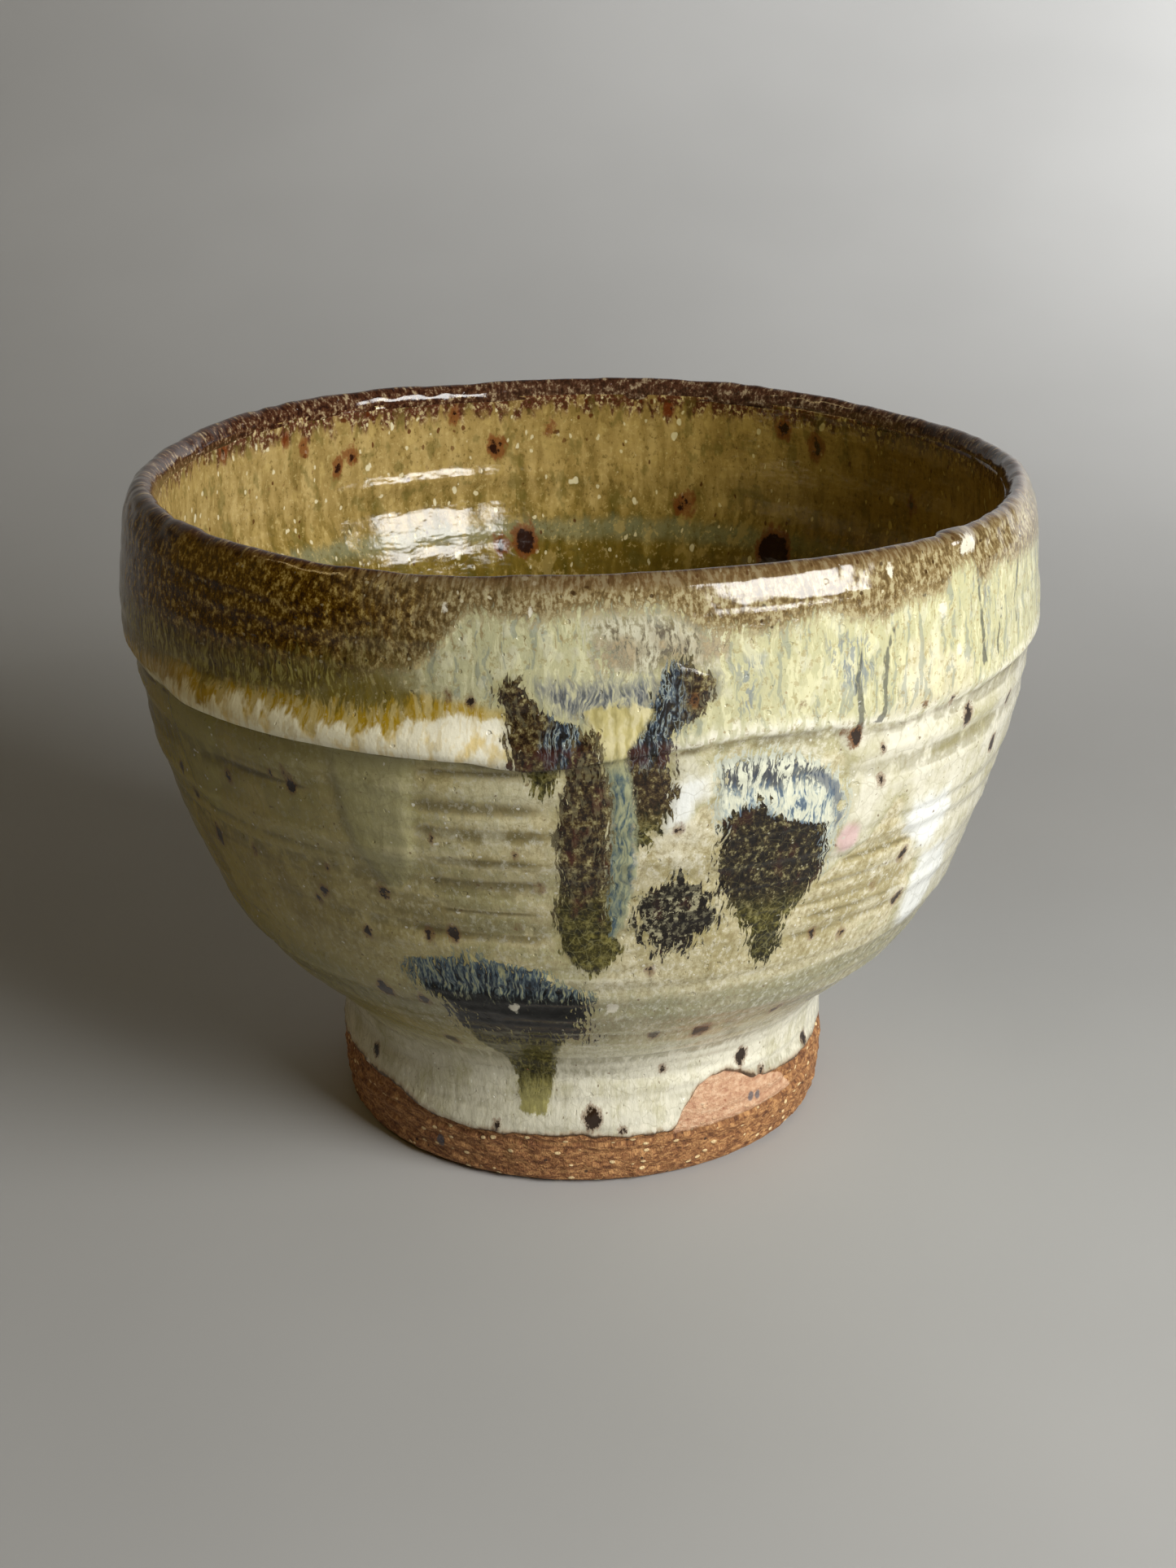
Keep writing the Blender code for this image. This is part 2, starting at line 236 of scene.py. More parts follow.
def uneven(azimuth, height, wide, tall, seed):
    """Smooth noise from -1 to 1 with features wide degrees across and tall millimetres high."""
    cells = max(1, round(360 / wide))
    table = np.random.default_rng(seed).random((cells, 2048)) * 2 - 1
    u = (azimuth % 360) / 360 * cells
    v = height / tall + 100
    i, j = np.floor(u).astype(int), np.floor(v).astype(int)
    fu, fv = u - i, v - j
    fu, fv = fu * fu * (3 - 2 * fu), fv * fv * (3 - 2 * fv)
    low = table[i % cells, j % 2048] * (1 - fu) + table[(i + 1) % cells, j % 2048] * fu
    high = table[i % cells, (j + 1) % 2048] * (1 - fu) + table[(i + 1) % cells, (j + 1) % 2048] * fu
    return low * (1 - fv) + high * fv


def smoothstep(value, low, high):
    t = np.clip((value - low) / (high - low), 0, 1)
    return t * t * (3 - 2 * t)


def hump(distance, width):
    """A smooth hump: 1 at no distance, about a third at width."""
    return np.exp(-(distance / width) ** 2)


def from_front(azimuth):
    return (azimuth + 180) % 360 - 180


def inside_rows(azimuth, height, rows):
    """Millimetres inside (+) or outside (-) a shape given as rows of (height, left, right)."""
    rising = np.array(rows)[::-1]
    left = np.interp(height, rising[:, 0], rising[:, 1])
    right = np.interp(height, rising[:, 0], rising[:, 2])
    span = np.radians(outside_radius(height))
    side = np.minimum(azimuth - left, right - azimuth) * span
    return np.minimum(side, np.minimum(rising[-1, 0] - height, height - rising[0, 0]))


def inside_any(azimuth, height, shapes):
    return np.maximum.reduce([inside_rows(azimuth, height, rows) for rows in shapes])


def spots_field(azimuth, height, spots, span):
    """Millimetres inside the nearest iron spot."""
    field = np.full(azimuth.shape, -4.0)
    for a, z, radius in spots:
        gap = np.hypot(from_front(azimuth - a) * span * 1.2, (height - z) * 0.85)
        field = np.maximum(field, radius - gap)
    return field


def thick_field(azimuth, height):
    return np.minimum(inside_any(azimuth, height, THICK_RUNS), -inside_rows(azimuth, height, BUFF_PATCH))


def grooves(azimuth, height):
    """0 to 1 in the grooves between ridges."""
    sway = height + 0.5 * uneven(azimuth, height, 14, 9, 14)
    deepest = np.zeros(azimuth.shape)
    for level, half, left, right in GROOVES:
        across = smoothstep(azimuth, left - 3, left + 3) * (1 - smoothstep(azimuth, right - 3, right + 3))
        deepest = np.maximum(deepest, across * hump(sway - level, half))
    return deepest


def ridges(azimuth, height):
    """The potter's finger ridges, -1 in a groove to 1 on a ridge, deepest at the front left of the belly."""
    climb = height + azimuth / 360 * 2.3
    deep = hump(from_front(azimuth + 14), 18) * hump(height - 55, 11)
    broad = uneven(azimuth, climb, 50, 1.7, 1)
    return broad * (0.6 + 0.4 * deep) + 0.3 * uneven(azimuth, climb, 24, 0.8, 2)


def thrown(azimuth, height):
    """The potter's ridges and dents, in millimetres along the wall's normal."""
    dents = 0.22 * uneven(azimuth, height, 15, 8, 3) + 0.28 * uneven(azimuth, height, 40, 18, 4)
    calm = 1 - 0.55 * smoothstep(height, 68, 72)
    return ridges(azimuth, height) * 0.42 * calm + dents * 0.6 + 0.035 * uneven(azimuth, height, 1.1, 0.9, 5)


def outside_relief(azimuth, height):
    a = from_front(azimuth)
    ledge = height - round_edge(LEDGE, a)
    groove = -0.3 * hump(ledge + 0.1, 0.4) * (0.6 + 0.4 * uneven(a, height, 9, 50, 9))
    groove = groove * (1 - 0.7 * smoothstep(a, 8, 16)) - 0.2 * grooves(a, height)
    rolled = 1 - smoothstep(np.abs(from_front(a + 26)), 22, 34)
    above = ledge - 1.1
    bead = 0.22 * hump(above, 0.7)
    bead = bead + rolled * 1.5 * hump(np.maximum(above, 0), 2.7) * hump(np.minimum(above, 0), 0.7)
    runs = 0.28 * smoothstep(thick_field(a, height), -0.3, 1.0)
    lower = -0.22 * hump(height - 35.4 - 0.5 * uneven(a, height, 25, 90, 12), 0.5)
    drape = 0.45 * uneven(a, height, 9, 4.5, 15) * smoothstep(np.abs(from_front(a - 85)), 50, 30)
    return thrown(azimuth, height) + groove + bead + runs + lower + drape * hump(height - 75, 6.0)


def warp(points):
    """The slight out-of-round of a thrown rim."""
    x, y, z = points.T
    angle = np.arctan2(x, -y)
    up = np.clip(z / 86.0, 0, 1.1) ** 2
    swell = 1 + up * (0.004 * np.sin(2 * angle + 0.6) + 0.0025 * np.sin(3 * angle + 2.0))
    lift = up * (0.30 * np.sin(angle * 2 + 1.0) + 0.22 * np.sin(5 * angle + 0.4))
    return np.column_stack([x * swell, y * swell, z + lift])


def spun_points(curve, azimuth, push):
    """Grid of points: curve rows by azimuth columns, each moved by push along the curve's normal."""
    along = np.gradient(curve, axis=0)
    along /= np.linalg.norm(along, axis=-1, keepdims=True) + 1e-12
    normal = np.stack([-along[..., 1], along[..., 0]], -1)
    moved = curve + normal * push[..., None]
    angle = np.radians(azimuth)
    return np.stack([moved[..., 0] * np.sin(angle), -moved[..., 0] * np.cos(angle), moved[..., 1]], -1)


def new_object(name, points, faces, fields, surface):
    mesh = bpy.data.meshes.new(name)
    mesh.from_pydata((warp(points) * MM).tolist(), [], faces)
    for key, values in fields.items():
        mesh.attributes.new(key, "FLOAT", "POINT").data.foreach_set("value", values.astype(np.float32))
    mesh.validate()
    shape = bmesh.new()
    shape.from_mesh(mesh)
    bmesh.ops.remove_doubles(shape, verts=shape.verts, dist=1e-6)
    bmesh.ops.recalc_face_normals(shape, faces=shape.faces)
    shape.to_mesh(mesh)
    shape.free()
    mesh.shade_smooth()
    mesh.materials.append(surface)
    piece = bpy.data.objects.new(name, mesh)
    bpy.context.collection.objects.link(piece)
    return piece


def grid_faces(rows, columns, wrap_rows, wrap_columns):
    i, j = np.meshgrid(np.arange(rows if wrap_rows else rows - 1),
                       np.arange(columns if wrap_columns else columns - 1), indexing="ij")
    below, beside = (i + 1) % rows, (j + 1) % columns
    corners = [i * columns + j, below * columns + j, below * columns + beside, i * columns + beside]
    return np.stack([c.ravel() for c in corners], -1).tolist()


def spun(name, curve, relief, fields, surface, columns, back=None, back_rows=12):
    """A closed shell: the seen curve with its relief, and a plain back surface a coat's thickness behind."""
    azimuth = np.arange(columns) / columns * 360.0 - 180.0
    curve = np.broadcast_to(curve[:, None, :] if curve.ndim == 2 else curve, (len(curve), columns, 2))
    grid_a = np.broadcast_to(azimuth, curve.shape[:2])
    front = spun_points(curve, grid_a, relief(grid_a, curve[..., 1]))
    pick = np.linspace(0, len(curve) - 1, back_rows).round().astype(int)[::-1]
    behind = spun_points(curve, grid_a, np.full(curve.shape[:2], -(back or COAT)))[pick]
    points = np.concatenate([front, behind]).reshape(-1, 3)
    a = np.concatenate([grid_a, grid_a[pick]]).ravel()
    z = np.concatenate([curve[..., 1], curve[pick][..., 1]]).ravel()
    faces = grid_faces(len(curve) + back_rows, columns, True, True)
    return new_object(name, points, faces, fields(from_front(a), z), surface)


OUTSIDE_SHAPES = {
    "tee_left": TEE_LEFT, "tee_body": TEE_BODY, "tee_run": TEE_RUN, "tee_right": TEE_RIGHT, "shield": SHIELD,
    "crown": CROWN, "patch": PATCH, "low": LOW, "stem": STEM,
}
ARC = [
    (63.4, 25, 27.2), (62.4, 26.8, 29), (61, 28.4, 30.6), (59, 29.8, 31.4), (56.8, 30.4, 31.6),
    (55.4, 30.6, 31),
]
SMOKE = [
    (84.4, -1, 13.8), (81, 0.4, 14.9), (79, 1.2, 15.2), (77.4, 2, 15.2), (76.2, 8, 15), (75.2, 9.4, 14.8),
]
BROWN_PATCHES = [
    [(80.6, 1.8, 5.8), (79, 1.6, 6.4), (77.2, 2.6, 5.2)],
    [(80, 8, 11.4), (78, 8.6, 11)],
    [(83.4, 12.8, 15.6), (80.4, 12.4, 16), (78, 13, 15.2)],
]
WASH = [
    (76.6, -5, 14.9), (75, -4.6, 15), (73.6, -3.4, 14.8), (72.6, -3, 12), (72, -2.8, 9), (71.6, -2.6, 0.6),
]
NUKA_RUNS = [
    [(77, 31.2, 31.7), (74, 30.5, 31.2), (71, 31, 31.8), (68.2, 31.5, 32.4), (66.8, 31.2, 32.6)],
    [(78.8, 35.7, 36.2), (75.4, 34.5, 35.3), (72, 34.3, 35), (69.4, 34.8, 35.5), (67.6, 33.6, 35.1)],
    [(85.6, 50.6, 51.1), (80, 51, 51.5), (76, 51.6, 52.3), (72.4, 52, 52.7), (70.8, 52.2, 53.6)],
    [(78, 57.8, 58.3), (74.6, 55.8, 56.3), (71, 55.6, 56.2)],
    [(82.6, 62, 62.5), (77, 61.4, 61.9), (73.4, 61.6, 62.1)],
]
NUKA_VEILS = [
    [(79, 27, 31.6), (76, 27, 33.6), (73.6, 28.4, 33), (71.8, 30, 32)],
    [(80.6, 52, 54.6), (74, 52.6, 54), (71, 52.8, 53.6)],
    [(78, 15.4, 20), (74, 16.4, 19.4), (71, 17, 18.6)],
]
STAINS = [(31.6, 66.5, 1.3), (41.6, 68.6, 0.7), (29.8, 67.2, 0.6), (-13.6, 74.6, 0.8), (24, 71.8, 0.5)]


def outside_fields(azimuth, height):
    """Everything that the outside's paint needs to know at a point, mostly in millimetres."""
    span = np.radians(outside_radius(height))
    dark = [OUTSIDE_SHAPES[name] for name in ("tee_left", "tee_body", "tee_right", "shield", "patch", "low")]
    groups = {
        "dark": dark, "runs": NUKA_RUNS, "veil": NUKA_VEILS, "thin": THIN_PLACES, "white": WHITE_PATCHES,
        "lobe": LOBES, "brown": BROWN_PATCHES, "smoke": [SMOKE], "wash": [WASH], "buff": [BUFF_COLLAR],
        "arc": [ARC],
    }
    fields = {name: inside_rows(azimuth, height, rows) for name, rows in OUTSIDE_SHAPES.items()}
    fields.update({name: inside_any(azimuth, height, shapes) for name, shapes in groups.items()})
    for name, spots in {"stain": STAINS, "spots": OUTSIDE_SPOTS, "flecks": PALE_SPOTS}.items():
        fields[name] = spots_field(azimuth, height, spots, span)
    for name, edge in {"band": BAND_EDGE, "ledge": LEDGE, "hem": COAT_EDGE}.items():
        fields[name] = height - round_edge(edge, azimuth)
    fields["creamy"] = round_edge(CREAM_EDGE, azimuth) - height
    fields["thick"] = thick_field(azimuth, height)
    fields["ridge"] = ridges(azimuth, height)
    fields["comb"] = grooves(azimuth, height)
    # Painted warm shade on the left side, away from the window: this mask browns and yellows the coat and the
    # cream there, less near the foot, and also calms the grit and the thick runs.
    side = 0.55 * (1 - smoothstep(azimuth, -22, 10)) + 0.45 * (1 - smoothstep(azimuth, -55, -15))
    side = side * smoothstep(azimuth, -120, -80)
    fields["shade"] = side * (0.25 + 0.75 * smoothstep(height, 14, 24))
    fields["across"] = azimuth
    # Painted shade under the belly, where the wall faces down, strongest 30 mm up.
    fields["under"] = hump(height - 30, 6.0)
    fields["blush"] = 2.2 - np.hypot(azimuth - 33.2, (height - 53.6) * 0.8)
    wander = from_front(azimuth + 95 + 4 * uneven(azimuth, height, 14, 2.5, 13))
    fields["deep"] = smoothstep(wander, -76, -58) * (1 - smoothstep(wander, 66, 84))
    wander = wander + 12 * smoothstep(height, 72.5, 75.0)
    fields["golden"] = smoothstep(wander, -76, -58) * (1 - smoothstep(wander, 84, 92))
    return {name: np.clip(values, -12, 16) for name, values in fields.items()}


def srgb(red, green, blue):
    """Linear colour from screen values of 0 to 255."""
    screen = (red, green, blue)
    return tuple(((c / 255 + 0.055) / 1.055) ** 2.4 if c > 10 else c / 3295 for c in screen) + (1.0,)


def node(kind, inputs, **settings):
    """A node beside the first of its inputs that is another node's output."""
    tree = next(value for value in inputs.values() if isinstance(value, bpy.types.NodeSocket)).id_data
    made = tree.nodes.new("ShaderNode" + kind)
    for key, value in settings.items():
        setattr(made, key, value)
    for key, value in inputs.items():
        feed(made.inputs[key], value)
    return made


def feed(socket, value):
    if isinstance(value, bpy.types.NodeSocket):
        value.id_data.links.new(value, socket)
    else:
        socket.default_value = value


def calc(operation, *values):
    return node("Math", dict(enumerate(values)), operation=operation).outputs[0]


def both(first, second):
    return calc("MULTIPLY", first, second)


def plus(first, second):
    return calc("ADD", first, second)


def linear(value, slope, start):
    return calc("MULTIPLY_ADD", value, slope, start)


def inverse(value):
    return calc("SUBTRACT", 1.0, value)


def near(value, level, none, full):
    """1 where value is within full of level, down to 0 where it is none away."""
    return step(calc("ABSOLUTE", calc("SUBTRACT", value, level)), none, full)


def vector(operation, *values):
    return node("VectorMath", dict(enumerate(values)), operation=operation).outputs[0]


def step(value, low, high):
    return node("MapRange", {0: value, 1: low, 2: high}, interpolation_type="SMOOTHSTEP").outputs[0]


def pushed(field, *pairs):
    """field with its outline pushed in and out by each noise, up to about half of its amount each way."""
    for noise, amount in zip(pairs[::2], pairs[1::2]):
        field = plus(field, linear(noise, amount, -0.5 * amount))
    return field


def mix(share, first, second):
    """From first to second, each a colour on its way or screen values of 0 to 255."""
    first, second = (srgb(*tone) if isinstance(tone, tuple) else tone for tone in (first, second))
    return node("Mix", {0: share, 6: first, 7: second}, data_type="RGBA").outputs[2]


def blend(share, first, second):
    return node("Mix", {0: share, 2: first, 3: second}, data_type="FLOAT").outputs[0]


def ramp(value, *stops):
    """A colour that follows value through stops of (place, red, green, blue)."""
    made = node("ValToRGB", {0: value})
    elements = made.color_ramp.elements
    while len(elements) < len(stops):
        elements.new(0.5)
    for element, (place, *tone) in zip(elements, stops):
        element.position = place
        element.color = srgb(*tone)
    return made.outputs[0]


def over(share, under, colour, strength=1.0):
    """colour laid over under where share is 1."""
    return mix(both(share, strength), under, colour)


def tint(share, colour, tone):
    """colour multiplied by tone where share is 1."""
    return mix(share, colour, vector("MULTIPLY", colour, tone))


class Paint:
    """A procedural material, with the places on the bowl that its patterns are drawn in."""

    def __init__(self, name):
        self.material = bpy.data.materials.new(name)
        self.material.use_nodes = True
        nodes = self.material.node_tree.nodes
        self.shader = nodes["Principled BSDF"]
        place = nodes.new("ShaderNodeTexCoord").outputs["Object"]
        x, y, z = node("SeparateXYZ", {0: place}).outputs
        self.height = both(z, 1000.0)
        level = node("CombineXYZ", {0: x, 1: y}).outputs[0]
        self.radius = both(node("VectorMath", {0: level}, operation="LENGTH").outputs["Value"], 1000.0)
        rise = node("CombineXYZ", {2: self.height}).outputs[0]
        self.flow = vector("MULTIPLY_ADD", vector("NORMALIZE", level), (WALL_RADIUS,) * 3, rise)
        self.plain = vector("MULTIPLY", place, (1000.0,) * 3)
        wander = node("TexNoise", {"Vector": self.scaled(2.4, 1.6, 0, "flow"), "Scale": 1.0, "Detail": 3.0})
        sway = vector("MULTIPLY_ADD", wander.outputs["Color"], (2.6, 2.6, 1.2), (-1.3, -1.3, -0.6))
        self.bent = vector("ADD", self.flow, sway)

    def field(self, name):
        found = self.material.node_tree.nodes.new("ShaderNodeAttribute")
        found.attribute_name = name
        return found.outputs["Fac"]

    def scaled(self, size, tall, seed, space):
        across = 1.0 / size
        shift = (seed * 7.3, seed * 3.1, seed * 5.7)
        return vector("MULTIPLY_ADD", getattr(self, space), (across, across, across / tall), shift)

    def noise(self, size, tall=1.0, detail=2.0, seed=0, space="flow", roughness=0.55):
        place = self.scaled(size, tall, seed, space)
        inputs = {"Vector": place, "Scale": 1.0, "Detail": detail, "Roughness": roughness}
        return node("TexNoise", inputs).outputs["Fac"]

    def cells(self, size, tall, seed, feature="F1"):
        place = self.scaled(size, tall, seed, "bent")
        return node("TexVoronoi", {"Vector": place, "Scale": 1.0}, feature=feature).outputs

    def specks(self, size, radius, share, seed, tall=1.0):
        """1 inside small round specks: one in each of share of the cells."""
        cell = self.cells(size, tall, seed)
        chosen = calc("LESS_THAN", node("SeparateColor", {0: cell["Color"]}).outputs[0], share)
        return both(chosen, inverse(step(cell["Distance"], radius * 0.7, radius)))

    def crackle(self, size, seed):
        """1 on thin crazing lines."""
        return inverse(step(self.cells(size, 1.0, seed, "DISTANCE_TO_EDGE")["Distance"], 0.01, 0.045))

    def finish(self, colour, roughness, relief=None, bump=0.1, reach=0.0004):
        feed(self.shader.inputs["Base Color"], colour)
        feed(self.shader.inputs["Roughness"], roughness)
        if relief is not None:
            made = node("Bump", {"Strength": bump, "Distance": reach, "Height": relief})
            feed(self.shader.inputs["Normal"], made.outputs[0])
        return self.material


BUFF = (212, 202, 166)
MILK = (222, 218, 198)
CELADON = (184, 178, 138)
OLIVE_COAT = (176, 164, 120)
NUKA = (196, 192, 150)
CREAM = (242, 238, 218)
OCHRE = (182, 148, 36)
RUST = (116, 74, 36)
IRON = (44, 30, 18)


def pale_coat(paint, noises):
    """Colour of the pale coat, with painted shade and painted light in it, and how thick it lies, 0 to 1."""
    wide, streak, _, grain, _ = noises
    cloud = paint.noise(8, 1, 3, 31)
    thick = step(pushed(paint.field("thick"), wide, 2.4), -1.2, 1.2)
    thin = step(pushed(paint.field("thin"), cloud, 8), -3, 3)
    foot = step(pushed(paint.height, cloud, 6), 25, 17)
    ridge, comb, shade = (paint.field(name) for name in ("ridge", "comb", "shade"))
    amount = pushed(linear(ridge, -0.13, cloud), streak, 0.3)
    amount = plus(amount, both(thick, linear(shade, -0.22, 0.32)))
    amount = linear(foot, 0.4, linear(thin, -0.28, amount))
    # Painted shade: the grooves between the ridges lower the amount, so the coat there turns darker and
    # olive.
    amount = pushed(linear(comb, -0.35, amount), grain, 0.24)
    colour = ramp(amount, (0.12, *OLIVE_COAT), (0.34, *BUFF), (0.56, *CELADON), (0.9, *MILK))
    lobe = step(pushed(paint.field("lobe"), wide, 2), -0.9, 0.7)
    colour = over(lobe, colour, (190, 188, 158), 0.6)
    # Painted shade in the grooves between the ridges.
    shaded_grooves = step(pushed(comb, grain, 1.2), 0.3, 0.95)
    colour = over(shaded_grooves, colour, (98, 88, 50), blend(thick, 0.7, 0.25))
    # Darker olive low on the ridging: partly glaze pooling, partly painted shade.
    pooled_and_shaded = both(step(ridge, -0.2, -0.55), step(wide, 0.38, 0.52))
    colour = over(pooled_and_shaded, colour, (112, 104, 62), 0.5)
    # Painted light: the ridge tops lightened towards cream.
    raised = both(step(ridge, 0.15, 0.5), step(pushed(cloud, grain, 0.3), 0.42, 0.56))
    colour = over(raised, colour, (240, 236, 216), 0.45)
    # Painted warm shade: the left side of the coat browned and yellowed.
    colour = tint(shade, colour, (0.6, 0.52, 0.14))
    # Painted shade under the belly.
    colour = tint(paint.field("under"), colour, (0.7, 0.72, 0.7))
    gritty = blend(shade, 0.6, 0.1)
    gritty = both(gritty, linear(calc("MAXIMUM", thick, foot), -0.75, 1))
    colour = over(both(step(grain, 0.47, 0.39), gritty), colour, (124, 102, 56), 0.6)
    colour = over(both(step(grain, 0.53, 0.61), gritty), colour, (242, 238, 222), 0.6)
    white = step(pushed(paint.field("white"), wide, 4, grain, 1.5), -1.4, 1)
    colour = over(white, colour, (244, 246, 242), 0.85)
    colour = over(paint.crackle(2.6, 20), colour, (130, 120, 78), 0.2)
    colour = over(paint.specks(1.5, 0.15, 0.22, 3), colour, (104, 78, 44), 0.7)
    colour = over(paint.specks(0.8, 0.16, 0.2, 4), colour, (120, 98, 58), 0.5)
    colour = over(paint.specks(1.2, 0.17, 0.25, 5), colour, (244, 242, 230), 0.6)
    colour = over(step(pushed(paint.field("blush"), grain, 1), 0, 1.2), colour, (216, 168, 176), 0.6)
    hem = step(pushed(paint.field("hem"), wide, 2), 1.3, 0.3)
    colour = over(hem, colour, (150, 104, 48), 0.55)
    hem = step(pushed(paint.field("hem"), wide, 1.4), 0.7, 0.25)
    return over(hem, colour, (66, 42, 20), 0.9), amount


def collar_paint(paint, colour, noises):
    """The straight collar over the ledge: ochre and cream on the left, pale yellow runs on the right."""
    wide, streak, fine, grain, lines = noises
    ledge, golden_side, creamy = paint.field("ledge"), paint.field("golden"), paint.field("creamy")
    line = near(ledge, -0.15, 0.5, 0.05)
    dashes = step(paint.noise(4, 0.6, 3, 11), 0.44, 0.58)
    above = step(pushed(ledge, wide, 1.8), 0.1, 0.9)
    low = step(pushed(ledge, wide, 4), 0.8, 2.8)
    right = mix(low, CREAM, NUKA)
    right = over(step(streak, 0.52, 0.4), right, (188, 186, 146), 0.7)
    right = over(step(wide, 0.53, 0.62), right, (232, 230, 208), 0.3)
    buff = step(pushed(paint.field("buff"), wide, 3, streak, 3), -0.8, 1.2)
    right = over(buff, right, ramp(wide, (0.36, 196, 186, 146), (0.6, 224, 218, 190)), 0.7)
    right = over(both(step(lines, 0.55, 0.6), low), right, (126, 136, 130), 0.5)
    right = over(both(step(lines, 0.45, 0.38), low), right, (232, 228, 186), 0.5)
    right = over(step(grain, 0.45, 0.38), right, (156, 136, 84), 0.5)
    brown = both(step(fine, 0.6, 0.7), step(pushed(ledge, streak, 8), 8, 13))
    right = over(brown, right, (140, 112, 66), 0.6)
    right = over(paint.specks(1.4, 0.14, 0.2, 12), right, (150, 120, 70), 0.6)
    cream = pushed(creamy, wide, 5, fine, 2)
    pale = ramp(wide, (0.36, 238, 218, 166), (0.48, 255, 252, 240))
    pale = over(step(streak, 0.54, 0.64), pale, (216, 196, 142), 0.4)
    # Painted warm shade: on the left side the cream is tinted warmer and yellower.
    pale = tint(paint.field("shade"), pale, (1.04, 0.98, 0.68))
    gold = mix(step(pushed(streak, wide, 0.3), 0.4, 0.56), (206, 184, 116), OCHRE)
    left = mix(step(cream, -0.5, 0.5), gold, pale)
    left = over(step(pushed(creamy, fine, 6, wide, 2), -1.4, -3.2), left, (112, 100, 38), 0.85)
    left = over(step(grain, 0.56, 0.66), left, (240, 226, 180), 0.5)
    colour = mix(above, colour, mix(golden_side, right, left))
    faint = blend(step(paint.field("across"), 6, 14), 0.9, 0.3)
    return over(both(line, dashes), colour, (84, 66, 36), faint)


def band_paint(paint, colour, noises):
    """The dark iron band under the lip."""
    _, streak, fine, grain, lines = noises
    band, deep = paint.field("band"), paint.field("deep")
    amber = ramp(grain, (0.38, 48, 26, 2), (0.47, 84, 54, 4), (0.55, 124, 92, 22), (0.64, 196, 168, 92))
    lower = both(deep, step(pushed(band, streak, 7), 5.5, 1.5))
    green = ramp(fine, (0.34, 72, 58, 10), (0.5, 120, 102, 28), (0.62, 176, 164, 86))
    slate = both(step(lines, 0.5, 0.58), step(paint.field("across"), -11.9, -8))
    green = over(slate, green, (104, 108, 100), 0.7)
    amber = mix(lower, amber, green)
    light = ramp(linear(fine, 0.4, both(grain, 0.6)), (0.42, 94, 76, 46), (0.5, 134, 114, 76),
                 (0.57, 176, 164, 126))
    tone = mix(deep, light, amber)
    tone = over(paint.specks(0.9, 0.24, 0.2, 14), tone, (222, 212, 178), blend(deep, 0.7, 0.3))
    tone = over(paint.specks(1.2, 0.22, 0.3, 15), tone, (52, 32, 12), 0.8)
    lip = step(pushed(paint.height, grain, 4), 85.4, 86.6)
    tone = over(lip, tone, (92, 64, 36), 0.6)
    inner = step(pushed(paint.radius, grain, 1.6), 56.2, 55.2)
    dark_lip = ramp(grain, (0.4, 46, 24, 18), (0.54, 84, 50, 36), (0.66, 176, 156, 124))
    tone = over(inner, tone, dark_lip, 0.9)
    reach = blend(deep, 5, 6)
    edge = plus(band, both(plus(fine, -0.5), reach))
    return mix(step(pushed(edge, grain, 5), -0.9, 0.7), colour, tone)


def washes(paint, colour, noises):
    """The smoky brown patch, the grey wash and the blue runs on the front of the collar."""
    wide, streak, fine, grain, _ = noises
    smoke = pushed(paint.field("smoke"), grain, 5, fine, 9)
    smoky = ramp(linear(fine, 0.6, both(grain, 0.4)), (0.42, 96, 86, 74), (0.48, 160, 152, 126),
                 (0.55, 204, 200, 176))
    colour = over(step(smoke, -0.8, 2.4), colour, smoky, 0.9)
    brown = step(pushed(paint.field("brown"), wide, 4), -1.2, 0.6)
    brown = both(brown, step(pushed(fine, grain, 0.9), 0.46, 0.52))
    colour = over(brown, colour, ramp(grain, (0.4, 92, 66, 34), (0.6, 156, 128, 84)), 0.6)
    wash = step(pushed(paint.field("wash"), streak, 3, fine, 5), -0.5, 1.2)
    washed = ramp(fine, (0.38, 70, 76, 86), (0.46, 124, 126, 124), (0.54, 164, 162, 142),
                  (0.64, 204, 200, 160))
    colour = over(wash, colour, washed, 0.92)
    veil = step(pushed(paint.field("veil"), streak, 3), -0.4, 1.2)
    colour = over(both(veil, step(fine, 0.48, 0.56)), colour, (124, 134, 140), 0.7)
    runs = step(pushed(paint.field("runs"), fine, 0.9), -0.12, 0.12)
    colour = over(runs, colour, (64, 68, 66), 0.75)
    stain = step(pushed(paint.field("stain"), grain, 2.4), -0.2, 0.5)
    return over(stain, colour, (108, 66, 24), 0.85)


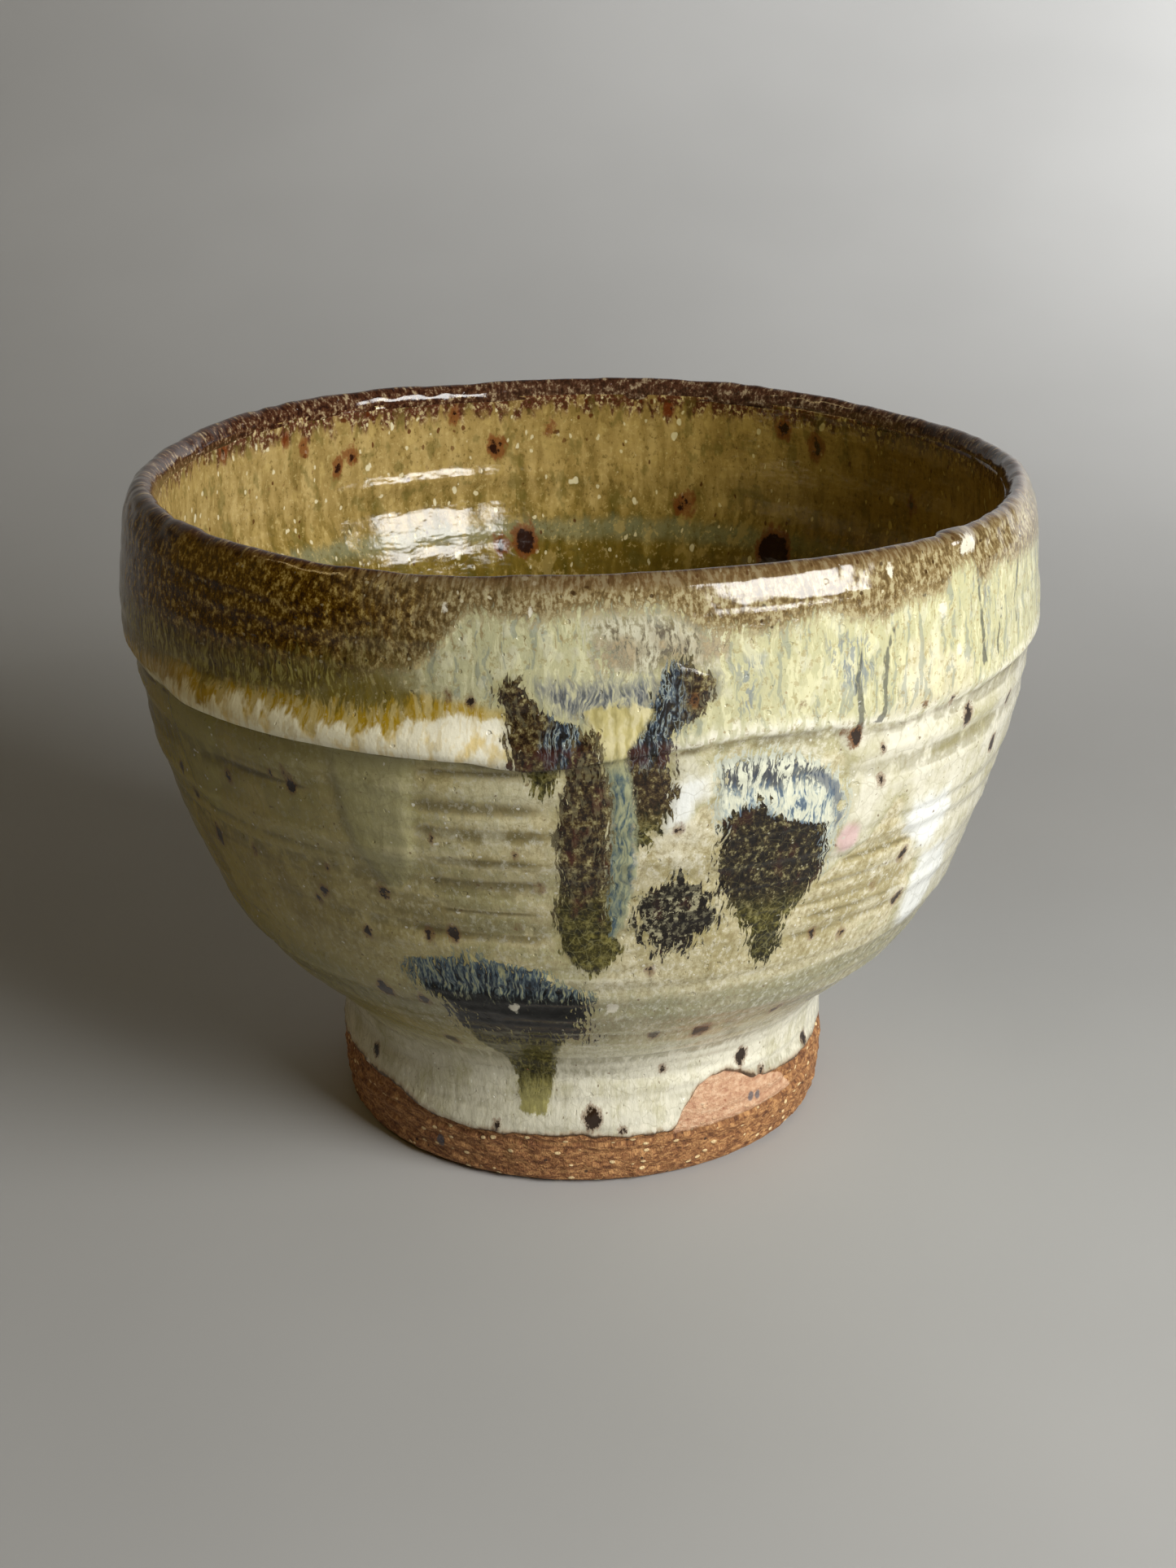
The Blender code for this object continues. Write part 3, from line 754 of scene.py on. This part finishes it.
def mark_paint(paint, colour, noises):
    """The brushed iron marks, laid over the coat one after another."""
    wide, streak, fine, grain, _ = noises
    height = paint.height
    crazed = paint.crackle(1.7, 21)
    mottled = ramp(grain, (0.38, 14, 10, 7), (0.49, 32, 24, 15), (0.57, 62, 53, 30), (0.66, 140, 132, 94))
    mottled = over(step(wide, 0.54, 0.66), mottled, (66, 30, 22), 0.4)
    mottled = over(paint.specks(0.7, 0.18, 0.2, 22), mottled, (186, 182, 156), 0.7)
    mottled = over(crazed, mottled, (140, 134, 92), 0.1)
    olive = ramp(grain, (0.38, 22, 20, 4), (0.5, 46, 42, 12), (0.63, 92, 86, 42))
    olive = over(crazed, olive, (170, 164, 112), 0.25)
    warm = ramp(grain, (0.38, 28, 20, 12), (0.49, 58, 43, 27), (0.57, 94, 80, 48), (0.66, 156, 146, 104))
    light_olive = ramp(grain, (0.38, 36, 33, 8), (0.5, 68, 62, 20), (0.63, 120, 112, 58))
    light_olive = over(crazed, light_olive, (170, 164, 112), 0.25)
    colour = over(step(paint.field("dark"), -1.8, 0), colour, (160, 148, 92), 0.4)

    def edge(name, feather, ragged, soft=0.25, grown=0):
        outline = pushed(paint.field(name), feather, ragged, grain, 1.8)
        return step(outline, -soft - grown, soft - grown)

    washed_out = step(pushed(height, fine, 5), 17, 12)
    stem = over(washed_out, light_olive, (186, 178, 116), 0.6)
    colour = mix(edge("stem", fine, 1.2), colour, stem)
    body = ramp(grain, (0.4, 5, 5, 5), (0.52, 15, 15, 14), (0.66, 36, 38, 34))
    fringe = ramp(fine, (0.38, 34, 38, 44), (0.48, 66, 80, 92), (0.56, 112, 124, 120),
                  (0.64, 160, 160, 124))
    low = mix(step(pushed(height, fine, 9), 33.6, 36.4), body, fringe)
    colour = mix(edge("low", fine, 13), colour, low)
    ridge = step(paint.noise(9, 0.12, 2, 23), 0.47, 0.56)
    patch = over(step(grain, 0.5, 0.58), mottled, (176, 170, 138), 0.75)
    patch = over(ridge, patch, (24, 19, 14), 0.7)
    colour = mix(edge("patch", fine, 9), colour, patch)
    crown = ramp(fine, (0.36, 90, 106, 122), (0.43, 158, 170, 168), (0.49, 206, 208, 188),
                 (0.7, 226, 226, 202))
    rising = step(pushed(height, fine, 7, wide, 5), 60.8, 63.4)
    crown = over(both(rising, step(fine, 0.53, 0.47)), crown, (60, 58, 62), 0.85)
    rim = step(pushed(paint.field("crown"), grain, 1), 1.3, 0.2)
    crown = over(rim, crown, (140, 150, 146), 0.35)
    arc = step(pushed(paint.field("arc"), fine, 3, grain, 1.5), -0.3, 0.6)
    crown = over(arc, crown, (66, 78, 98), 0.75)
    colour = mix(edge("crown", fine, 8, 0.4), colour, crown)
    tail = step(pushed(height, grain, 6), 45, 48.8)
    tail_end = mix(step(pushed(height, grain, 3), 41.6, 44), olive, light_olive)
    colour = mix(edge("shield", fine, 7), colour, mix(tail, tail_end, mottled))
    across = paint.field("across")
    marbled = ramp(fine, (0.38, 26, 24, 22), (0.46, 40, 40, 40), (0.52, 70, 84, 98),
                   (0.57, 156, 166, 160), (0.61, 58, 52, 38), (0.68, 32, 28, 20))
    inner = step(pushed(across, wide, 5), -4.6, -2.6)
    curls = step(pushed(across, wide, 5), 12, 8.6)
    plain_arm = over(step(fine, 0.54, 0.62), warm, (110, 104, 78), 0.5)
    arm = mix(both(inner, curls), plain_arm, marbled)
    red = near(height, 67.7, 2.2, 0.9)
    arm = over(both(red, step(pushed(wide, fine, 0.3), 0.38, 0.5)), arm, (72, 32, 20), 0.65)
    dark_end = mix(step(pushed(height, fine, 6), 65.4, 67.4), warm, arm)
    ends = mix(step(pushed(height, wide, 4), 67, 65), dark_end, light_olive)
    colour = mix(edge("tee_left", fine, 6, 0.25, 0.5), colour, ends)
    leg = mix(step(pushed(height, grain, 7), 58, 62), light_olive, dark_end)
    colour = mix(edge("tee_right", fine, 6, 0.25, 0.5), colour, leg)
    run = ramp(fine, (0.36, 70, 88, 96), (0.46, 112, 122, 108), (0.6, 158, 160, 126))
    block = ramp(streak, (0.38, 172, 160, 104), (0.5, 194, 182, 124), (0.62, 212, 202, 156))
    run = mix(step(pushed(height, streak, 4), 65, 69), run, block)
    colour = mix(edge("tee_run", fine, 1.6, 0.5), colour, run)
    warm = over(step(fine, 0.53, 0.6), warm, (118, 110, 80), 0.6)
    warm = over(step(pushed(wide, fine, 0.3), 0.54, 0.66), warm, (78, 34, 24), 0.5)
    base = mix(step(pushed(height, wide, 14), 45, 52), light_olive, warm)
    return mix(edge("tee_body", fine, 4, 0.25, 0.3), colour, base)


def outside_paint(name):
    """One paint for the whole glazed outside, so that the coat, band and marks meet without a seam."""
    paint = Paint(name)
    wide = paint.noise(2, 1.6, 3, 33)
    streak = paint.noise(0.8, 6, 2, 32, "bent")
    fine = paint.noise(0.42, 7, 3, 34, "bent")
    grain = paint.noise(0.78, 1.1, 4, 35, roughness=0.7)
    lines = paint.noise(0.9, 9, 3, 38, "bent")
    noises = wide, streak, fine, grain, lines
    colour, amount = pale_coat(paint, noises)
    colour = collar_paint(paint, colour, noises)
    colour = washes(paint, colour, noises)
    colour = band_paint(paint, colour, noises)
    colour = mark_paint(paint, colour, noises)
    flecks = step(pushed(paint.field("flecks"), grain, 1.6), -0.1, 0.3)
    colour = over(flecks, colour, (232, 226, 206), 0.85)
    spots = pushed(paint.field("spots"), grain, 2.2)
    colour = over(step(spots, -0.5, 0), colour, RUST, 0.6)
    colour = mix(step(spots, 0, 0.2), colour, IRON)
    pits = paint.specks(1.6, 0.2, 0.35, 36)
    relief = calc("SUBTRACT", linear(grain, 0.35, both(wide, 0.9)), pits)
    rough = blend(step(amount, 0.2, 0.9), 0.24, 0.13)
    rough = blend(step(paint.field("band"), -1, 0.5), rough, 0.1)
    relief = both(relief, blend(step(paint.height, 82, 84), 1, 0.3))
    return paint.finish(colour, rough, relief, 0.45, 0.00035)


def inside_paint():
    """Amber and olive ash glaze that has run down the wall."""
    paint = Paint("amber_glaze_paint")
    height = paint.height
    wall = step(height, 20, 34)
    streak = blend(wall, paint.noise(3, 1, 3, 40, "plain"), paint.noise(1.6, 5, 3, 41, "bent"))
    broad = paint.noise(5, 2.2, 3, 42, "plain")
    grit = paint.noise(0.7, 1.3, 4, 43, "plain", 0.7)
    tone = plus(both(streak, 0.62), both(broad, 0.38))
    upper = ramp(tone, (0.3, 130, 108, 56), (0.48, 168, 142, 84), (0.66, 198, 172, 112))
    lower = ramp(tone, (0.3, 86, 76, 22), (0.5, 126, 104, 38), (0.68, 162, 140, 66))
    colour = mix(step(pushed(height, streak, 14), 61, 75), lower, upper)
    pool = ramp(tone, (0.3, 66, 74, 44), (0.7, 104, 108, 62))
    colour = mix(step(pushed(height, streak, 10), 40, 22), colour, pool)
    ring = near(pushed(height, streak, 3), 64.4, 2.4, 0.4)
    colour = over(ring, colour, (138, 142, 112), 0.6)
    edge = step(pushed(height, streak, 9), 81.4, 83.4)
    colour = mix(edge, colour, ramp(grit, (0.38, 66, 34, 24), (0.52, 104, 62, 42), (0.64, 206, 190, 150)))
    colour = over(step(grit, 0.56, 0.64), colour, (206, 184, 124), 0.55)
    colour = over(step(grit, 0.43, 0.36), colour, (96, 78, 30), 0.55)
    patchy = paint.noise(3, 1.6, 3, 47, "plain", 0.65)
    colour = over(step(patchy, 0.55, 0.64), colour, (110, 100, 48), 0.5)
    colour = over(step(patchy, 0.44, 0.36), colour, (196, 170, 104), 0.45)
    colour = over(paint.specks(1.5, 0.2, 0.4, 44, 1.4), colour, (232, 220, 180), 0.85)
    colour = over(paint.specks(3.2, 0.16, 0.3, 48, 1.5), colour, (238, 228, 192), 0.85)
    upper_rim = step(height, 72, 80)
    colour = over(both(paint.specks(2, 0.2, 0.5, 45, 1.3), upper_rim), colour, (92, 44, 18), 0.85)
    colour = over(paint.specks(2.6, 0.13, 0.35, 49, 1.3), colour, (84, 46, 18), 0.85)
    spots = pushed(paint.field("spots"), grit, 2.6, patchy, 4)
    colour = over(step(spots, -0.8, 0), colour, (122, 58, 24), 0.75)
    colour = mix(step(spots, 0.2, 0.7), colour, (46, 24, 15))
    # Painted warm shade on the inside of the right wall, which faces away from the window: darker and
    # yellower.
    colour = tint(paint.field("right_wall_painted_shade"), colour, (0.78, 0.7, 0.3))
    relief = linear(grit, 0.16, paint.noise(4, 0.5, 2, 46, "plain"))
    return paint.finish(colour, 0.13, relief, 0.4, 0.0005)


def clay_paint(name):
    """Coarse red-brown stoneware with buff grog, dragged sideways by the trimming tool."""
    paint = Paint(name)
    # The trimming marks run round the foot, so that on the flat underside they follow circles.
    paint.flow = vector("ADD", paint.flow, node("CombineXYZ", {2: paint.radius}).outputs[0])
    paint.bent = paint.plain
    body = paint.noise(3.4, 0.22, 4, 51)
    drag = paint.noise(1.1, 0.28, 3, 52)
    grain = paint.noise(0.35, 0.8, 2, 53)
    tone = plus(both(body, 0.5), both(drag, 0.5))
    colour = ramp(tone, (0.36, 92, 54, 30), (0.48, 146, 98, 58), (0.6, 196, 146, 94))
    colour = over(step(grain, 0.52, 0.64), colour, (90, 54, 32), 0.5)
    colour = over(paint.specks(1.7, 0.16, 0.3, 56), colour, (52, 34, 24), 0.85)
    grog = paint.specks(1.9, 0.25, 0.55, 54, 0.6)
    colour = over(grog, colour, (240, 212, 160), 0.95)
    fine_grog = paint.specks(0.7, 0.24, 0.3, 55)
    colour = over(fine_grog, colour, (196, 150, 98), 0.6)
    slip = step(pushed(paint.field("slip"), grain, 0.8), -0.2, 0.2)
    smooth = ramp(tone, (0.36, 180, 128, 96), (0.5, 206, 162, 128), (0.64, 226, 192, 160))
    smooth = over(paint.specks(1.3, 0.16, 0.3, 57), smooth, (160, 96, 66), 0.7)
    colour = over(slip, colour, smooth, 0.85)
    colour = over(step(paint.field("dots"), -0.2, 0.1), colour, (84, 88, 98), 0.8)
    relief = linear(grog, 0.5, plus(both(drag, 0.8), both(grain, 0.5)))
    return paint.finish(colour, blend(slip, 0.85, 0.6), relief, 0.6, 0.0005)


def keep(piece, part):
    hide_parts(part)
    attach(piece, "root")


def outer_coat():
    """The pale coat, ending in a rolled uneven edge on the foot."""
    columns, rows = 680, 130
    azimuth = np.arange(columns) / columns * 360 - 180
    curve = smooth_curve(OUTSIDE, 400)
    fixed = curve[curve[:, 1] > 20.0]
    fixed = fixed[np.linspace(0, len(fixed) - 1, rows - 30).round().astype(int)]
    edge = round_edge(COAT_EDGE, azimuth) + 0.25 * uneven(azimuth, azimuth * 0, 2.5, 1, 61)
    share = np.linspace(0, 1, 31)[1:, None]
    z = fixed[-1, 1] + (edge[None, :] - fixed[-1, 1]) * share
    lower = np.stack([outside_radius(z), z], -1)
    upper = np.broadcast_to(fixed[:, None, :], (len(fixed), columns, 2))
    whole = np.concatenate([upper, lower])
    past = whole[..., 1] - edge[None, :]
    roll = -0.55 * (1 - np.sqrt(1 - (1 - np.clip(past / 0.9, 0, 1)) ** 2)) + 0.15 * hump(past - 1.3, 0.9)

    def relief(a, height):
        return outside_relief(a, height) + roll

    surface = outside_paint("pale_glaze_paint")
    piece = spun("outer_glaze_coat", whole, relief, outside_fields, surface, columns)
    keep(piece, "outer_glaze")


def rim_band():
    """The dark band: up the collar, over the lip and just inside."""
    columns, leg = 720, 34
    azimuth = np.arange(columns) / columns * 360 - 180
    lip = smooth_curve(LIP, 30)
    start = round_edge(BAND_EDGE, azimuth) - 2.2
    z = start[None, :] + (lip[0, 1] - start[None, :]) * np.linspace(0, 1, leg)[:-1, None]
    collar = np.stack([outside_radius(z), z], -1)
    whole = np.concatenate([collar, np.broadcast_to(lip[:, None, :], (len(lip), columns, 2))])[::-1]
    inner, sink = np.zeros((2, len(whole), 1))
    inner[:22, 0] = np.linspace(1, 0, 22)
    sink[:4, 0] = np.linspace(-0.35, 0, 4)

    def relief(a, height):
        band = height - round_edge(BAND_EDGE, from_front(a))
        lift = -0.1 + 0.2 * smoothstep(band, -1.8, 0.4)
        calm = 0.25 + 0.75 * smoothstep(np.abs(from_front(a - 22)), 10, 20)
        bumps = (0.10 * uneven(a, height, 2.2, 1.0, 71) + 0.12 * uneven(a, height, 6, 3, 72)) * calm
        blister = 0.7 * hump(from_front(a) - 49, 1.9) * hump(height - 85.6, 0.9) * (inner < 0.9)
        lip_bumps = bumps * smoothstep(height, 82, 85)
        return (1 - inner) * outside_relief(a, height) + lift + lip_bumps + blister + sink

    surface = outside_paint("iron_glaze_paint")
    piece = spun("rim_glaze_band", whole, relief, outside_fields, surface, columns, 0.4)
    keep(piece, "rim_glaze")


def brushed_mark(name, shapes, shine=0.35, cell=0.28):
    """A thin raised layer that follows the outline of its shapes and sinks into the coat at its edge."""
    shapes = [OUTSIDE_SHAPES[shape] for shape in shapes]
    rows = np.concatenate(shapes)
    span = np.radians(outside_radius(rows[:, 0].mean()))
    left, right = rows[:, 1].min() - 3, rows[:, 2].max() + 3
    top, bottom = rows[:, 0].max() + 2.5, rows[:, 0].min() - 2.5
    a, z = np.meshgrid(np.arange(left, right, cell / span), np.arange(top, bottom, -cell))
    field = inside_any(a, z, shapes) + 0.5 * uneven(a, z, 0.9, 1.6, 81)
    push = outside_relief(a, z) - 0.1 + 0.2 * smoothstep(field, -1.0, 0.8) + 0.05 * uneven(a, z, 0.8, 2.4, 82)
    points = spun_points(np.stack([outside_radius(z), z], -1), a, push)
    faces = np.array(grid_faces(*a.shape, False, False))
    used, faces = np.unique(faces[(field.ravel()[faces] > -1.3).any(axis=1)], return_inverse=True)
    fields = outside_fields(a.ravel()[used], z.ravel()[used])
    surface = outside_paint(name + "_paint")
    surface.node_tree.nodes["Principled BSDF"].inputs["Specular IOR Level"].default_value = shine
    faces = faces.reshape(-1, 4).tolist()
    piece = new_object(name + "_layer", points.reshape(-1, 3)[used], faces, fields, surface)
    solid = piece.modifiers.new("thickness", "SOLIDIFY")
    solid.thickness = 0.3 * MM
    solid.offset = -1.0
    keep(piece, name)


def inner_coat():
    """The inside, with throwing rings, down to the tea pool."""
    curve = smooth_curve(INSIDE, 150)

    def relief(a, height):
        near_lip = smoothstep(height, 80, 84)
        rings = 0.16 * uneven(a, height + a / 360 * 2.6, 80, 2.6, 91) + 0.2 * uneven(a, height, 30, 12, 92)
        local = 1 - smoothstep(np.abs(from_front(a + 157)), 12, 26)
        swell = (0.15 + 0.42 * local) * hump(height - 72.4 - 0.4 * uneven(a, height, 20, 90, 94), 1.3)
        hollow = swell - 0.25 * hump(height - 64.6, 1.6)
        runs = 0.08 * uneven(a, height, 3.2, 14, 93)
        floor = smoothstep(height, 15.5, 19.0)
        return (rings * (1 - 0.6 * near_lip) + hollow + runs) * (0.15 + 0.85 * floor)

    def fields(a, height):
        found = spots_field(a, height, INSIDE_SPOTS, np.radians(53.0))
        # The mask for the painted shade on the inside of the right wall.
        return {"spots": found, "right_wall_painted_shade": hump(from_front(a - 120), 55)}

    piece = spun("inner_glaze_coat", curve[::-1], relief, fields, inside_paint(), 600)
    keep(piece, "inner_glaze")


def clay_relief(a, height):
    coarse = 0.16 * uneven(a, height, 3.0, 0.7, 101) + 0.10 * uneven(a, height, 1.2, 0.6, 102)
    turned = 0.14 * uneven(a, height, 60, 0.9, 103) - 0.3 * hump(height - 6.3, 0.25)
    flat = smoothstep(height, 0.1, 1.2)
    smooth = 1 - 0.75 * smoothstep(inside_rows(from_front(a), height, SLIP), -0.2, 0.6)
    return (coarse * smooth + turned) * flat


def clay_fields(a, height):
    dots = spots_field(a, height, SLIP_DOTS, np.radians(33.0))
    return {"slip": np.clip(inside_rows(a, height, SLIP), -8, 8), "dots": dots}


def bare_foot():
    """The turned foot ring."""
    curve = smooth_curve(FOOT, 110)
    surface = clay_paint("foot_clay_paint")
    piece = spun("foot_ring_clay", curve[::-1], clay_relief, clay_fields, surface, 600, 2.0)
    keep(piece, "foot_ring")


def clay_wall():
    """The clay under the glazes. What shows of it is the recess inside the foot."""
    curve = smooth_curve(UNDERSIDE, 90)

    def relief(a, height):
        return 0.10 * uneven(a, height, 4, 1.0, 111)

    surface = clay_paint("bowl_clay_paint")
    piece = spun("bowl_body_clay", curve[::-1], relief, clay_fields, surface, 360, 2.0)
    keep(piece, "bowl_body")


CAMERA_PLACE = (0.9, -276.9, 148.6)
CAMERA_DOWN = 20.97
CAMERA_ROLL = -0.27
CAMERA_LENS = 50.5


def camera():
    data = bpy.data.cameras.new("photo_view")
    data.lens = CAMERA_LENS
    data.sensor_width = 36.0
    data.clip_start = 0.01
    made = bpy.data.objects.new("photo_view", data)
    aim = Euler((math.radians(90 - CAMERA_DOWN), 0, 0)).to_matrix().to_4x4()
    made.matrix_world = Matrix.Translation(Vector(CAMERA_PLACE) * MM) @ aim @ Matrix.Rotation(
        math.radians(CAMERA_ROLL), 4, "Z")
    bpy.context.collection.objects.link(made)
    bpy.context.scene.camera = made


def area_light(name, azimuth, elevation, distance, size, power, colour, target=(0, 0, 0.05)):
    """A soft panel at that azimuth, elevation and distance from the bowl, facing the target."""
    data = bpy.data.lights.new(name, "AREA")
    data.shape = "RECTANGLE"
    data.size, data.size_y = size
    data.energy = power
    data.color = colour
    made = bpy.data.objects.new(name, data)
    a, e = math.radians(azimuth), math.radians(elevation)
    away = Vector((math.sin(a) * math.cos(e), -math.cos(a) * math.cos(e), math.sin(e)))
    made.location = Vector((0, 0, 0.05)) + away * distance
    made.rotation_euler = (made.location - Vector(target)).to_track_quat("Z", "Y").to_euler()
    bpy.context.collection.objects.link(made)
    return data


def lights():
    area_light("window", 50, 25, 0.50, (0.31, 0.19), 3.1, (1.0, 0.995, 0.975))
    area_light("warm_fill", -95, 15, 1.0, (0.7, 0.6), 0.26, (1.0, 0.56, 0.10))
    area_light("side_lamp", -92, 50, 1.2, (0.5, 0.05), 0.5, (1.0, 0.74, 0.34))
    glow = area_light("backdrop_glow", 100, 22, 0.62, (0.3, 0.3), 2.75, (0.98, 0.99, 1.0), (0.28, 0.62, 0.22))
    glow.spread = math.radians(110)
    world = bpy.data.worlds.new("studio")
    world.use_nodes = True
    world.node_tree.nodes["Background"].inputs["Color"].default_value = (1.0, 0.80, 0.34, 1.0)
    world.node_tree.nodes["Background"].inputs["Strength"].default_value = 0.030
    bpy.context.scene.world = world


def sweep():
    """A plain pale floor that curves up into a backdrop."""
    half, depth, bend, tall = 2.4, 0.62, 0.50, 1.6
    profile = [(-2.4, 0.0), (depth - bend, 0.0)]
    for i in range(1, 25):
        turn = math.pi / 2 * i / 24
        profile.append((depth - bend + bend * math.sin(turn), bend - bend * math.cos(turn)))
    profile.append((depth, tall))
    points = [(side * half, y, z) for y, z in profile for side in (-1, 1)]
    faces = [(2 * i, 2 * i + 1, 2 * i + 3, 2 * i + 2) for i in range(len(profile) - 1)]
    mesh = bpy.data.meshes.new("floor_sweep")
    mesh.from_pydata(points, [], faces)
    mesh.shade_smooth()
    paint = Paint("floor_paint")
    mottle = paint.noise(120.0, 1.0, 3, 121, "plain")
    colour = ramp(mottle, (0.3, 178, 178, 177), (0.7, 186, 186, 185))
    paint.shader.inputs["Specular IOR Level"].default_value = 0.25
    mesh.materials.append(paint.finish(colour, 0.6))
    floor = bpy.data.objects.new("floor_sweep", mesh)
    bpy.context.collection.objects.link(floor)


outer_coat()
rim_band()
brushed_mark("centre_mark", ["tee_left", "tee_body", "tee_run", "tee_right"])
brushed_mark("right_mark", ["shield", "crown"])
brushed_mark("small_mark", ["patch"])
brushed_mark("low_mark", ["low", "stem"], 0.2)
inner_coat()
bare_foot()
clay_wall()
sweep()
camera()
lights()
bpy.context.scene.view_settings.view_transform = "Standard"
